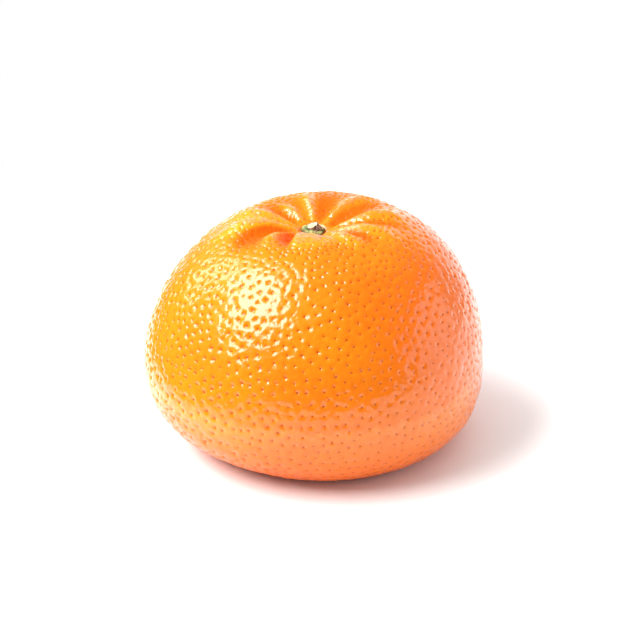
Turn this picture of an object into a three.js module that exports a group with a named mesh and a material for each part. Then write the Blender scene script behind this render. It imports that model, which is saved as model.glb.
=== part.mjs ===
// A whole mandarin of the flat satsuma type: the fruit, the green calyx left on it, and the clipped stem.
//
// Millimetres, +Z up. The fruit stands on its blossom end with the stem end up, and the origin is the
// middle of the flat spot that it rests on.

import * as THREE from 'three';
import { ConvexGeometry } from 'three/addons/geometries/ConvexGeometry.js';
import { mergeVertices } from 'three/addons/utils/BufferGeometryUtils.js';

// ---- Driving dimensions: the fruit's body ----

const WIDTH = 66;              // across the widest part
const STEM_HALF = 31.1;        // from the widest level up to the top of the uncut dome
const BLOSSOM_HALF = 19.25;    // from the widest level down to the blossom end
const REST_SHARE = 0.985;      // how much of BLOSSOM_HALF is left above the flat spot
const STEM_SQUARENESS = 1.985; // exponent of the body's outline above the widest level: 2 is an ellipse
const BLOSSOM_SQUARENESS = 2.42;
const STEM_LEAN = 0.185;       // how much squarer the +X side is than the middle, above and below
const BLOSSOM_LEAN = 0.3;
const WAIST_BLEND = 0.7;       // sine of the latitude over which the upper outline turns into the lower one
const SETTLE_FROM = 14.9;      // how far below the widest level the fruit starts to settle on the table
const SETTLE_DEPTH = 1.2;      // and how much deeper than that the settled underside can reach at most
const REST_DEPTH = REST_SHARE * BLOSSOM_HALF;
const CENTRE_Z = settled(REST_DEPTH);

// ---- The stem end: a hollow with a flat seat for the calyx, and the folds that run out of it ----

const HOLLOW_DEPTH = 5.8;
const HOLLOW_RADIUS = 9;
const SEAT_RADIUS = 2.7;
const SEAT_Z = 41.34375;       // a height that 32-bit numbers hold exactly, as the calyx's underside meets it
const SEAT_SIDES = 24;
const SEAT_MARGIN = 1.2;       // degrees of latitude outside the seat that are free of other points
const FOLD_RISE = 5.5;         // distance from the stem's axis at which the folds have their full height
const FOLD_SPREAD = 1.5;       // how far the folds widen on their way out, and over what distance
const FOLD_SPREAD_DISTANCE = 4;
const FOLD_ROUNDING = 0.4;     // radius of a crest's top, as a share of the fold's width
const FOLD_MEAN = 0.4;         // how far the peel between the folds is lowered, so that its mean stays put

// Each fold is a crest that leaves the calyx at one azimuth and fades out at another. Degrees from +X
// towards +Y; height, reach from the stem's axis and half width in millimetres. A negative height is a furrow.
const FOLDS = [
  { from: -25, to: -27, height: 1.3, reach: 20, width: 1.3 },
  { from: 0, to: 10, height: 1.3, reach: 21, width: 1.3 },
  { from: 50, to: 42, height: 1.4, reach: 18, width: 1.15 },
  { from: 90, to: 100, height: 1.2, reach: 16, width: 1.05 },
  { from: 122, to: 128, height: 1.3, reach: 12, width: 1.15 },
  { from: 156, to: 160, height: 1.1, reach: 20, width: 1.2 },
  { from: 180, to: 182, height: 1.35, reach: 21, width: 1.3 },
  { from: 200, to: 230, height: 0.8, reach: 16, width: 1.1 },
  { from: 243, to: 256, height: 1.3, reach: 15, width: 1.2 },
  { from: 268, to: 274, height: 1.3, reach: 14, width: 3 },
  { from: 304, to: 306, height: 1.45, reach: 17, width: 1.15 },
  { from: -10, to: -9, height: -0.5, reach: 20, width: 1.4 },
  { from: 27, to: 27, height: -0.5, reach: 18, width: 2 },
  { from: 74, to: 78, height: -0.2, reach: 16, width: 2.2 },
  { from: 141, to: 144, height: -0.4, reach: 16, width: 1.6 },
  { from: 189, to: 208, height: -1, reach: 19, width: 1.9 },
  { from: 226, to: 247, height: -1.6, reach: 14, width: 1.15 },
  { from: 320, to: 320, height: -0.9, reach: 17, width: 1.5 },
  { from: 293, to: 294, height: -0.5, reach: 14, width: 1.1 },
];

// ---- The blossom end: a flat ring round a small dimple ----

const DIMPLE_RADIUS = 3.2;
const DIMPLE_DEPTH = 0.8;
const DIMPLE_SIDES = 16;
const REST_SIDES = 36;
const REST_MARGIN = 2;         // degrees of latitude outside the flat spot that are free of other points
const FLAT_TOLERANCE = 1e-6;

// ---- The peel: long low swellings, and the pits over its oil glands ----

const SWELL_HEIGHT = 0.22;
const PIT_DEPTH = 0.35;
const PIT_SPACING = 2.6;       // no two pits are nearer than this
const PIT_FREE_RADIUS = 6;     // no pits nearer than this to the stem's axis
const PEEL_POINTS = 5250;
const STEM_END_DENSITY = 4.2;  // how many times closer packed the points are among the folds
const STEM_END_FROM = 26;      // degrees from the stem end over which that packing thins out
const STEM_END_TO = 48;
const PACKING_STEPS = 4000;    // how finely the packing is summed up
const HALVING_STEPS = 50;      // how often a range is halved to find where a value passes zero
const POINT_JITTER = 0.28;     // share of the points' spacing that each is moved by
const SEED = 20;

// ---- The calyx and the clipped stem ----

const CALYX_RADIUS = 2.35;
const CALYX_LOBE = 0.25;       // how far each of the five lobes stands out
const CALYX_LOBES = 5;
const CALYX_THICKNESS = 1;
const CALYX_RIM = 0.2;         // rounding of the calyx's upper edge
const CALYX_SIDES = 40;
const CALYX_RIM_STEPS = 4;
const STEM_FOOT_RADIUS = 1.6;  // the stem widens to its foot on the calyx
const STEM_RADIUS = 1.25;
const STEM_OFFSET = -0.35;     // the clipped end sits a little towards -X
const STEM_HIGH = 1.2;         // height above the calyx of the slanted cut, at its +X and -X ends
const STEM_LOW = 0.15;
const STEM_SIDES = 20;
// The stem's outline from its foot to the cut, as shares of STEM_FOOT_RADIUS - STEM_RADIUS outside
// STEM_RADIUS and of the height of the cut above each point.
const STEM_OUTLINE = [[1, 0], [1, 0.15], [0.3, 0.55], [0, 1]];
// The bark's ribs: how many go round the stem, how far they stand out as a share of its radius, and where
// the first one is, in radians.
const STEM_RIBS = [{ count: 3, height: 0.05, turn: 0.6 }, { count: 7, height: 0.03, turn: 0 }];

const PEEL_COLOUR = 0xf8921a;
const CALYX_COLOUR = 0x8f9a4a;
const STEM_COLOUR = 0x9a7048;

// A depth below the widest level, once the underside has flattened under the fruit's weight.
function settled(depth) {
  if (depth < SETTLE_FROM) return depth;
  return SETTLE_FROM + SETTLE_DEPTH * (1 - Math.exp((SETTLE_FROM - depth) / SETTLE_DEPTH));
}

const degrees = (angle) => angle * Math.PI / 180;

function smoothstep(low, high, value) {
  const share = THREE.MathUtils.clamp((value - low) / (high - low), 0, 1);
  return share * share * (3 - 2 * share);
}

// Seeded random numbers from 0 to 1, so that every build gives the same fruit.
function randomNumbers(seed) {
  let state = seed;
  return () => {
    state = (state * 1664525 + 1013904223) % 4294967296;
    return state / 4294967296;
  };
}

// The distance from the body's centre to its smooth outline: a superellipse whose height and squareness
// turn from the stem half's values into the blossom half's across the widest level.
function bodyReach(direction) {
  const across = Math.hypot(direction.x, direction.y);
  const lean = across > 0 ? direction.x / across : 0;
  const upper = smoothstep(-WAIST_BLEND, WAIST_BLEND, direction.z);
  const half = THREE.MathUtils.lerp(BLOSSOM_HALF, STEM_HALF, upper);
  const below = BLOSSOM_SQUARENESS + BLOSSOM_LEAN * lean;
  const above = STEM_SQUARENESS + STEM_LEAN * lean;
  const squareness = THREE.MathUtils.lerp(below, above, upper);
  const sideways = (across / (WIDTH / 2)) ** squareness;
  const upwards = (Math.abs(direction.z) / half) ** squareness;
  return (sideways + upwards) ** (-1 / squareness);
}

// The folds' height at a distance and an azimuth from the stem's axis. A crest is narrow near the calyx
// and widens on its way out. Its top is round, and its flanks fall off in a hollow curve, as on a tent.
function foldHeight(distance, azimuth) {
  let height = 0;
  for (const fold of FOLDS) {
    const along = smoothstep(SEAT_RADIUS, fold.reach, distance);
    const crest = degrees(THREE.MathUtils.lerp(fold.from, fold.to, along));
    const turn = Math.atan2(Math.sin(azimuth - crest), Math.cos(azimuth - crest));
    const width = fold.width * FOLD_SPREAD * distance / (distance + FOLD_SPREAD_DISTANCE);
    const top = FOLD_ROUNDING * width;
    const profile = Math.exp((top - Math.hypot(distance * turn, top)) / width);
    const fade = 1 - smoothstep(0.5 * fold.reach, fold.reach, distance);
    height += fold.height * fade * (profile - FOLD_MEAN * width / distance);
  }
  return height * smoothstep(SEAT_RADIUS - 0.4, FOLD_RISE, distance);
}

// Long low swellings, as no fruit is quite even.
function swelling(direction) {
  const { x, y, z } = direction;
  const waves = Math.sin(3.1 * x + 1.3 * z + 0.7)
    + Math.sin(4.3 * y - 2.2 * x + 2.1)
    + Math.sin(5.2 * z + 3.4 * y + 4.0);
  return SWELL_HEIGHT * waves * smoothstep(-0.85, -0.5, z) * (1 - smoothstep(0.6, 0.9, z)) / 2;
}

// The peel's point in a direction from the body's centre.
function peelPoint(direction) {
  const reach = bodyReach(direction) + swelling(direction);
  const point = direction.clone().multiplyScalar(reach);
  const distance = Math.hypot(point.x, point.y);
  point.z = CENTRE_Z - settled(-point.z);
  if (direction.z > 0) {
    point.z -= HOLLOW_DEPTH * Math.exp(-((distance / HOLLOW_RADIUS) ** 2));
    point.z += foldHeight(distance, Math.atan2(point.y, point.x));
    if (distance < SEAT_RADIUS + FLAT_TOLERANCE) point.z = SEAT_Z;
    return point;
  }
  if (point.z < FLAT_TOLERANCE) point.z = DIMPLE_DEPTH * (1 - smoothstep(0, DIMPLE_RADIUS, distance));
  return point;
}

function sphereDirection(polar, azimuth) {
  const across = Math.sin(polar);
  return new THREE.Vector3(across * Math.cos(azimuth), across * Math.sin(azimuth), Math.cos(polar));
}

// The polar angle between two limits at which a rising value passes zero.
function polarWhere(value, low, high) {
  let [below, above] = [low, high];
  for (let step = 0; step < HALVING_STEPS; step += 1) {
    const middle = (below + above) / 2;
    if (value(middle) > 0) above = middle;
    else below = middle;
  }
  return (below + above) / 2;
}

// The polar angles, measured from the stem end, of three edges: the calyx's seat, the flat spot, its dimple.
function seatPolar(azimuth) {
  return polarWhere((polar) => distanceAt(polar, azimuth) - SEAT_RADIUS, 0, Math.PI / 2);
}

function restPolar(azimuth) {
  const depth = (polar) => -REST_DEPTH - heightAt(polar, azimuth);
  return polarWhere(depth, Math.PI / 2, Math.PI);
}

function dimplePolar(azimuth, radius) {
  return polarWhere((polar) => radius - distanceAt(polar, azimuth), Math.PI / 2, Math.PI);
}

function distanceAt(polar, azimuth) {
  const direction = sphereDirection(polar, azimuth);
  return Math.sin(polar) * (bodyReach(direction) + swelling(direction));
}

function heightAt(polar, azimuth) {
  const direction = sphereDirection(polar, azimuth);
  return direction.z * (bodyReach(direction) + swelling(direction));
}

// A ring of directions round the axis. Its polar angle may change with the azimuth.
function ringOfDirections(sides, polarAt) {
  const ring = [];
  for (let side = 0; side < sides; side += 1) {
    const azimuth = 2 * Math.PI * side / sides;
    ring.push(sphereDirection(polarAt(azimuth), azimuth));
  }
  return ring;
}

// How closely the points are packed at a polar angle: closer among the folds than on the rest of the peel.
function packing(polar) {
  const among = 1 - smoothstep(degrees(STEM_END_FROM), degrees(STEM_END_TO), polar);
  return 1 + (STEM_END_DENSITY - 1) * among;
}

// Directions on a spiral round the axis, packed as above, each moved a little at random. The seat and the
// flat spot get none, so that they stay flat.
function spiralDirections(random) {
  const steps = PACKING_STEPS;
  const totals = [0];
  for (let step = 1; step <= steps; step += 1) {
    const polar = Math.PI * (step - 0.5) / steps;
    totals.push(totals[step - 1] + Math.sin(polar) * packing(polar) * Math.PI / steps);
  }
  const share = totals[steps] / PEEL_POINTS;
  const goldenAngle = Math.PI * (3 - Math.sqrt(5));
  const directions = [];
  let step = 0;
  for (let index = 0; index < PEEL_POINTS; index += 1) {
    while (totals[step + 1] < (index + 0.5) * share) step += 1;
    const polar = Math.PI * (step + 0.5) / steps;
    const spacing = Math.sqrt(2 * Math.PI * share / packing(polar));
    const jitter = () => POINT_JITTER * spacing * (2 * random() - 1);
    const moved = polar + jitter();
    const azimuth = index * goldenAngle + jitter() / Math.sin(polar);
    const free = moved > seatPolar(azimuth) + degrees(SEAT_MARGIN)
      && moved < restPolar(azimuth) - degrees(REST_MARGIN);
    if (free) directions.push(sphereDirection(moved, azimuth));
  }
  return directions;
}

// Picks the directions whose points get a pit, in a random order, so that no two pits are too near. The
// seat's surroundings have none.
function pitKeys(directions, random) {
  const order = directions
    .map((direction) => ({ direction, point: peelPoint(direction), draw: random() }))
    .sort((one, other) => one.draw - other.draw);
  const pits = [];
  for (const candidate of order) {
    const distance = Math.hypot(candidate.point.x, candidate.point.y);
    const onSeat = candidate.direction.z > 0 && distance < PIT_FREE_RADIUS;
    if (!onSeat && pits.every((pit) => pit.point.distanceTo(candidate.point) > PIT_SPACING)) {
      pits.push(candidate);
    }
  }
  return new Set(pits.map((pit) => directionKey(pit.direction)));
}

// A direction's 32-bit coordinates as text, the same before and after it has been in a geometry.
function directionKey(direction) {
  return [direction.x, direction.y, direction.z].map(Math.fround).join();
}

function weld(geometry) {
  geometry.deleteAttribute('normal');
  geometry.deleteAttribute('uv');
  return mergeVertices(geometry);
}

// Moves every point of a geometry by a function of the point.
function reshape(geometry, move) {
  const positions = geometry.getAttribute('position');
  const point = new THREE.Vector3();
  for (let index = 0; index < positions.count; index += 1) {
    const moved = move(point.fromBufferAttribute(positions, index));
    positions.setXYZ(index, moved.x, moved.y, moved.z);
  }
  geometry.computeVertexNormals();
  return geometry;
}

// The whole fruit as one closed solid: a net of points on a sphere, each taken out to the peel.
function fruitGeometry() {
  const random = randomNumbers(SEED);
  const spread = spiralDirections(random);
  const pits = pitKeys(spread, random);
  const rings = [
    ringOfDirections(SEAT_SIDES, seatPolar),
    ringOfDirections(REST_SIDES, restPolar),
    ringOfDirections(DIMPLE_SIDES, (azimuth) => dimplePolar(azimuth, DIMPLE_RADIUS)),
    ringOfDirections(DIMPLE_SIDES / 2, (azimuth) => dimplePolar(azimuth, DIMPLE_RADIUS / 2)),
  ];
  const bottom = new THREE.Vector3(0, 0, -1);
  const net = weld(new ConvexGeometry([...spread, ...rings.flat(), bottom]));
  return reshape(net, (direction) => {
    const point = peelPoint(direction);
    if (pits.has(directionKey(direction))) point.addScaledVector(direction, -PIT_DEPTH);
    return point;
  });
}

// A turned solid of a profile given as [radius, height] pairs, with +Z as its axis.
function turned(profile, sides) {
  const points = profile.map(([radius, height]) => new THREE.Vector2(radius, height));
  return weld(new THREE.LatheGeometry(points, sides).rotateX(Math.PI / 2));
}

// The calyx: a thin disc, flat below, with a rounded upper edge and five lobes.
function calyxGeometry() {
  const profile = [[0, 0], [CALYX_RADIUS, 0]];
  for (let step = 0; step <= CALYX_RIM_STEPS; step += 1) {
    const angle = degrees(90 * step / CALYX_RIM_STEPS);
    profile.push([
      CALYX_RADIUS - CALYX_RIM * (1 - Math.cos(angle)),
      CALYX_THICKNESS - CALYX_RIM * (1 - Math.sin(angle)),
    ]);
  }
  profile.push([0, CALYX_THICKNESS]);
  return reshape(turned(profile, CALYX_SIDES), (point) => {
    const lobe = Math.cos(CALYX_LOBES * Math.atan2(point.y, point.x));
    const widened = 1 + CALYX_LOBE / CALYX_RADIUS * lobe;
    return point.set(point.x * widened, point.y * widened, point.z);
  });
}

// The clipped stem: it narrows upwards from its foot and ends in a slanted cut.
function stemGeometry() {
  const outline = STEM_OUTLINE.map(([flare, height]) => (
    [THREE.MathUtils.lerp(STEM_RADIUS, STEM_FOOT_RADIUS, flare), height]
  ));
  return reshape(turned([[0, 0], ...outline, [0, 1]], STEM_SIDES), (point) => {
    const azimuth = Math.atan2(point.y, point.x);
    let ribs = 1;
    for (const rib of STEM_RIBS) ribs += rib.height * Math.cos(rib.count * azimuth + rib.turn);
    const across = point.x * ribs;
    const towardsHigh = (across + STEM_FOOT_RADIUS) / (2 * STEM_FOOT_RADIUS);
    const height = THREE.MathUtils.lerp(STEM_LOW, STEM_HIGH, towardsHigh);
    return point.set(across + STEM_OFFSET * point.z, point.y * ribs, point.z * height);
  });
}

function namedMesh(name, geometry, colour, roughness) {
  const material = new THREE.MeshStandardMaterial({ color: colour, roughness, metalness: 0 });
  const mesh = new THREE.Mesh(geometry, material);
  mesh.name = name;
  return mesh;
}

const mandarin = new THREE.Group();
mandarin.add(namedMesh('fruit', fruitGeometry(), PEEL_COLOUR, 0.35));

const button = new THREE.Group();
button.position.z = SEAT_Z;
button.add(namedMesh('calyx', calyxGeometry(), CALYX_COLOUR, 0.6));

const stem = namedMesh('stem_stub', stemGeometry(), STEM_COLOUR, 0.8);
stem.position.z = CALYX_THICKNESS;
button.add(stem);
mandarin.add(button);

export default mandarin;
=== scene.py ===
# %% [markdown]
# # A mandarin, made as a lesson
#
# We make one whole mandarin of the flat satsuma type: a glossy, pitted peel with folds that run into a
# sunken stem end, the little green calyx left on it, and the clipped end of the stem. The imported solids
# say where the calyx and the stem stand, and the peel follows the same formula as the solid that it
# replaces. Blender adds what the solids leave out: the real number of oil-gland pits, the wrinkles, the
# calyx's ragged edge, the bark and the wet-looking shine.

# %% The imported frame
import math
import random

import bmesh
import bpy
import numpy as np
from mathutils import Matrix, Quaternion, Vector, noise
from mathutils.kdtree import KDTree


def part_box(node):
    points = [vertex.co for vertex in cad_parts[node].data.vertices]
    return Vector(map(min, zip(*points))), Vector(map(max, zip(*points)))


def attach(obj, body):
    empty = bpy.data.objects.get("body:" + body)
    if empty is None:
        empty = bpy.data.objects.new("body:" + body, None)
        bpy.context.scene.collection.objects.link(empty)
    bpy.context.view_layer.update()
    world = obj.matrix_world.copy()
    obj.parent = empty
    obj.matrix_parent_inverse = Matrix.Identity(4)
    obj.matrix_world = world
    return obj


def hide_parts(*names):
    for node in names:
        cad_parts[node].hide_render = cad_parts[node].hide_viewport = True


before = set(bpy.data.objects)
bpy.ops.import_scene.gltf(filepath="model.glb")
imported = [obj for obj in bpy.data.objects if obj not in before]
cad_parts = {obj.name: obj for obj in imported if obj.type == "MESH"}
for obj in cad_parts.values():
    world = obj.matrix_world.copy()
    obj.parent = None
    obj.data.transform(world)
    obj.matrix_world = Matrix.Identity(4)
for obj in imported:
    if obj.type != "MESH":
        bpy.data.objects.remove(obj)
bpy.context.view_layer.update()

fruit_low, fruit_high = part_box("fruit")
calyx_low, calyx_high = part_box("calyx")
stem_low, stem_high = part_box("stem_stub")
MM = 0.001
for name, low, high in (("fruit", fruit_low, fruit_high), ("calyx", calyx_low, calyx_high)):
    print(name, [round(side / MM, 1) for side in high - low], "mm")

# %% [markdown]
# ## The shape of the fruit
#
# A fruit has no drawing, but its outline is simple: seen from the side it is a superellipse, domed towards
# the stem and flatter towards the blossom end. Everything that makes the peel starts from one question:
# how far is the peel from the fruit's centre in a given direction? A formula answers it for all points at
# once, so the same shape can be asked for a coarse net or for the bottom of a tiny pit.

# %% Sizes of the body, in millimetres
WIDTH = 66
STEM_HALF = 31.1               # height of the outline above the widest level, before the hollow
BLOSSOM_HALF = 19.25           # depth of the outline below it, before the underside settles
REST_SHARE = 0.985             # the fruit rests this far down that depth
STEM_SQUARENESS = 1.985        # exponent of the outline: 2 is an ellipse, more is squarer
BLOSSOM_SQUARENESS = 2.42
STEM_LEAN = 0.185              # how much squarer the outline is towards +X than in the middle
BLOSSOM_LEAN = 0.3
WAIST_BLEND = 0.7              # how gently the upper outline turns into the lower one
SETTLE_FROM = 14.9             # how far below the widest level the fruit starts to settle on the table
SETTLE_DEPTH = 1.2

HOLLOW_DEPTH = 5.8
HOLLOW_RADIUS = 9
SEAT_RADIUS = 2.7
SEAT_BLEND = 0.2               # half the width of the step between the calyx's seat and the hollow
SEAT_GAP = 0.03                # how far the seat stays below the calyx
SEAT_Z = calyx_low.z / MM
DIMPLE_RADIUS = 3.2
DIMPLE_DEPTH = 0.8
SWELL_HEIGHT = 0.22
SWELL_FROM = (-0.85, -0.5)     # heights of a direction between which the swellings fade in
SWELL_TO = (0.6, 0.9)          # and out again, towards the stem
# waves over the fruit: how fast each runs along x, y and z, and where it starts
SWELLS = [
    (3.1, 0, 1.3, 0.7),
    (-2.2, 4.3, 0, 2.1),
    (0, 3.4, 5.2, 4.0),
]
TINY = 1e-9                    # keeps a division by nothing from happening


def smoothstep(low, high, value):
    """0 below the low value, 1 above the high one, and a smooth rise between them."""
    share = np.clip((value - low) / (high - low), 0, 1)
    return share * share * (3 - 2 * share)


def settled(depth):
    """Depths below the widest level, once the underside has flattened under the fruit's weight."""
    pressed_in = SETTLE_FROM + SETTLE_DEPTH * (1 - np.exp((SETTLE_FROM - depth) / SETTLE_DEPTH))
    return np.where(depth < SETTLE_FROM, depth, pressed_in)


CENTRE_Z = float(settled(REST_SHARE * BLOSSOM_HALF))


def body_reach(directions):
    """The distance from the fruit's centre to its smooth outline, for each direction."""
    x, y, z = directions.T
    across = np.hypot(x, y)
    lean = x / np.maximum(across, TINY)
    upper = smoothstep(-WAIST_BLEND, WAIST_BLEND, z)
    half = BLOSSOM_HALF + (STEM_HALF - BLOSSOM_HALF) * upper
    below = BLOSSOM_SQUARENESS + BLOSSOM_LEAN * lean
    above = STEM_SQUARENESS + STEM_LEAN * lean
    squareness = below + (above - below) * upper
    sideways = (across / (WIDTH / 2)) ** squareness
    upwards = (np.abs(z) / half) ** squareness
    return (sideways + upwards) ** (-1 / squareness)


def swelling(directions):
    """Long low swellings, as no fruit is quite even."""
    x, y, z = directions.T
    waves = sum(np.sin(along_x * x + along_y * y + along_z * z + start)
                for along_x, along_y, along_z, start in SWELLS)
    return SWELL_HEIGHT * waves * smoothstep(*SWELL_FROM, z) * (1 - smoothstep(*SWELL_TO, z)) / 2


# %% [markdown]
# ## The folds
#
# Where the stem pulled on the fruit, the peel gathers in about a dozen folds, like cloth round a button.
# Each fold here is a crest with an azimuth near the calyx, another where it fades out, a height, a reach
# and a width. The crest's cross-section is narrow at its top and falls off in hollow flanks, as on a tent,
# so two crests leave a soft round valley between them. Furrows are folds with a negative height.

# %% The table of folds: azimuths in degrees from +X towards +Y, lengths in millimetres
FOLD_START = 0.4               # how far inside the seat's edge the folds begin
FOLD_RISE = 5.5                # distance from the stem's axis at which they have their full height
FOLD_FADE = 0.5                # share of a fold's reach after which it starts to fade out
FOLD_SPREAD = 1.5              # how wide a fold of width 1 gets, far from the axis
FOLD_SPREAD_DISTANCE = 4       # where it has half that spread
FOLD_ROUNDING = 0.4            # radius of the crest's top, as a share of its spread
FOLD_MEAN = 0.4                # how much a crest lowers the skin beside it
# azimuth near the calyx, azimuth outside, height, reach, width
FOLDS = [
    (-25, -27, 1.3, 20, 1.3),
    (0, 10, 1.3, 21, 1.3),
    (50, 42, 1.4, 18, 1.15),
    (90, 100, 1.2, 16, 1.05),
    (122, 128, 1.3, 12, 1.15),
    (156, 160, 1.1, 20, 1.2),
    (180, 182, 1.35, 21, 1.3),
    (200, 230, 0.8, 16, 1.1),
    (243, 256, 1.3, 15, 1.2),
    (268, 274, 1.3, 14, 3.0),
    (304, 306, 1.45, 17, 1.15),
    (-10, -9, -0.5, 20, 1.4),
    (27, 27, -0.5, 18, 2.0),
    (74, 78, -0.2, 16, 2.2),
    (141, 144, -0.4, 16, 1.6),
    (189, 208, -1.0, 19, 1.9),
    (226, 247, -1.6, 14, 1.15),
    (320, 320, -0.9, 17, 1.5),
    (293, 294, -0.5, 14, 1.1),
]


def fold_height(distance, azimuth):
    """The folds' height at distances and azimuths from the stem's axis."""
    distance = np.maximum(distance, TINY)
    height = np.zeros_like(distance)
    for inner, outer, fold, reach, width in FOLDS:
        along = smoothstep(SEAT_RADIUS, reach, distance)
        crest = np.radians(inner + (outer - inner) * along)
        turn = np.angle(np.exp(1j * (azimuth - crest)))
        spread = width * FOLD_SPREAD * distance / (distance + FOLD_SPREAD_DISTANCE)
        top = FOLD_ROUNDING * spread
        profile = np.exp((top - np.hypot(distance * turn, top)) / spread)
        fade = 1 - smoothstep(FOLD_FADE * reach, reach, distance)
        height += fold * fade * (profile - FOLD_MEAN * spread / distance)
    return height * smoothstep(SEAT_RADIUS - FOLD_START, FOLD_RISE, distance)


crests = [fold for _, _, fold, _, _ in FOLDS if fold > 0]
print("folds:", len(crests), "crests and", len(FOLDS) - len(crests), "furrows")


# %% The skin: body, hollow, folds, seat and underside together
def peel_points(directions):
    """The points of the peel in directions from the fruit's centre, in millimetres."""
    points = directions * (body_reach(directions) + swelling(directions))[:, None]
    distance = np.hypot(points[:, 0], points[:, 1])
    azimuth = np.arctan2(points[:, 1], points[:, 0])
    hollow = HOLLOW_DEPTH * np.exp(-((distance / HOLLOW_RADIUS) ** 2))
    top = CENTRE_Z + points[:, 2] - hollow + fold_height(distance, azimuth)
    on_seat = 1 - smoothstep(SEAT_RADIUS - SEAT_BLEND, SEAT_RADIUS + SEAT_BLEND, distance)
    top += (SEAT_Z - SEAT_GAP - top) * on_seat
    bottom = CENTRE_Z - settled(-points[:, 2])
    dimple = DIMPLE_DEPTH * (1 - smoothstep(0, DIMPLE_RADIUS, distance))
    bottom = np.where(bottom < 0, dimple, bottom)
    points[:, 2] = np.where(directions[:, 2] > 0, top, bottom)
    return points


print("seat for the calyx at", round(SEAT_Z, 2), "mm")

# %% [markdown]
# ## A net of points, closer at the stem end
#
# The peel's mesh starts as an icosphere, which has no poles to pinch. It is divided once more over the
# folds and twice more round the calyx, and every point is nudged a little, so that nothing that follows
# from it lies in rows.

# %% The net
NET_SEED = 7
NET_DIVISIONS = 6
FOLD_ZONE = math.radians(42)   # half the angle of the cone round the stem that is divided once more
CALYX_ZONE = math.radians(21)  # and of the one that is divided twice more
NUDGE = 0.24                   # the most that a point is nudged along an axis, as a share of its edges

net = bmesh.new()
sink = net.verts.layers.float.new("sink")
pit = net.verts.layers.float.new("pit")
pit_class = net.verts.layers.int.new("pit_class")
valley = net.verts.layers.float.new("valley")
dry = net.verts.layers.float.new("dry")
bmesh.ops.create_icosphere(net, subdivisions=NET_DIVISIONS, radius=1.0)
for zone in (FOLD_ZONE, CALYX_ZONE):
    inside = [edge for edge in net.edges
              if all(vert.co.normalized().z > math.cos(zone) for vert in edge.verts)]
    bmesh.ops.subdivide_edges(net, edges=inside, cuts=1, use_grid_fill=True)
    bmesh.ops.triangulate(net, faces=net.faces)
    for vert in net.verts:
        vert.co.normalize()

draw = random.Random(NET_SEED)
nudges = []
for vert in net.verts:
    nearest = min(edge.calc_length() for edge in vert.link_edges)
    way = Vector((draw.uniform(-1, 1), draw.uniform(-1, 1), draw.uniform(-1, 1)))
    nudges.append(way * nearest * NUDGE)
for vert, nudge in zip(net.verts, nudges):
    vert.co = (vert.co + nudge).normalized()
print("net:", len(net.verts), "points")


# %% Laying the net on the body
def coordinates(mesh):
    """The places of a mesh's points, one row for each."""
    return np.array([vert.co for vert in mesh.verts])


def set_coordinates(mesh, points):
    """Moves a mesh's points to the places in the rows."""
    for vert, point in zip(mesh.verts, points):
        vert.co = point


def on_body(points):
    """Moves points along their directions from the centre onto the smooth body."""
    directions = points / np.linalg.norm(points, axis=1)[:, None]
    return directions * body_reach(directions)[:, None]


set_coordinates(net, on_body(coordinates(net)))
net_edges = [edge.calc_length() for edge in net.edges]
print("its edges are", round(min(net_edges), 2), "to", round(max(net_edges), 2), "mm long")

# %% [markdown]
# ## Oil glands
#
# Under the peel lie oil glands, and the skin sinks a little over each of them. The pits are about two
# millimetres apart, never in rows, of mixed sizes, and finer near the stem. They are also coarser on the
# fruit's upper left side than on the other and below. We could fake them with a bump texture, but they
# catch the light on their walls, so we model them: points of the net are picked at random, each as far
# from the others as its own draw says, and the net is bevelled at those points. That leaves a six-sided
# face at each pit, ready to be rounded, inset and sunk. Round the calyx the net is finer than a pit, so
# there the pits are only marked, and pressed in later.

# %% Picking the pits
PIT_SEED = 11
PIT_GAP = 1.25                 # nearest distance between two pits, in millimetres
PIT_GAP_SPREAD = 0.25          # how much further apart chance may put them
PIT_RADII = (0.62, 0.55, 0.48, 0.41, 0.34)
STEM_PIT_ZONE = 15             # within this of the stem's axis pits are smaller and closer
STEM_PIT_GAP = 0.72            # share of the distance that they keep there
PRESSED_EDGE = 0.42            # where the net's edges are shorter than this, pits are pressed in
PRESSED_RADII = (0.42, 0.37, 0.32)
PRESSED_START = 3.4            # distance from the stem's axis at which they start
FINE_FROM = -15                # where the pits turn finer, along the way from the coarse side
FINE_TO = 14
FINE_FALL = 0.35               # how far that way leans down
FINE_RADIUS = 0.43             # no pit on the fine side has a larger radius


def fineness(place):
    """How fine the pits are at a place: 0 on the coarse upper left side, 1 at the right and below."""
    return float(smoothstep(FINE_FROM, FINE_TO, place[0] - FINE_FALL * place[2]))


net.verts.ensure_lookup_table()
around = KDTree(len(net.verts))
for vert in net.verts:
    around.insert(vert.co, vert.index)
around.balance()
draw = random.Random(PIT_SEED)
order = list(net.verts)
draw.shuffle(order)
taken = set()
picked = []
pressed = []
for vert in order:
    gap = PIT_GAP + PIT_GAP_SPREAD * draw.random()
    wish = draw.random()
    if vert.index in taken:
        continue
    from_axis = math.hypot(vert.co.x, vert.co.y)
    if from_axis < STEM_PIT_ZONE and vert.co.z > 0:
        gap *= STEM_PIT_GAP
    edges = [edge.calc_length() for edge in vert.link_edges]
    if sum(edges) / len(edges) < PRESSED_EDGE:
        if from_axis > PRESSED_START:
            pressed.append((vert.co.copy(), PRESSED_RADII[int(wish * len(PRESSED_RADII))]))
    else:
        picked.append((vert.index, wish))
    for _, index, _ in around.find_range(vert.co, gap):
        taken.add(index)
print("pits:", len(picked), "cut and", len(pressed), "pressed")

# %% Letting the net settle round the pits
SETTLE_STEPS = 8
SETTLE_SHARE = 0.5             # share of the way to its new place that a point goes in a step
PIT_ROOM = 0.92                # distance that other points keep from a pit, as a share of its edges
PIT_SPACE = 2.2                # pits closer than this drift apart
PIT_DRIFT = 0.25               # share of what is missing that each of them moves in a step

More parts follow.
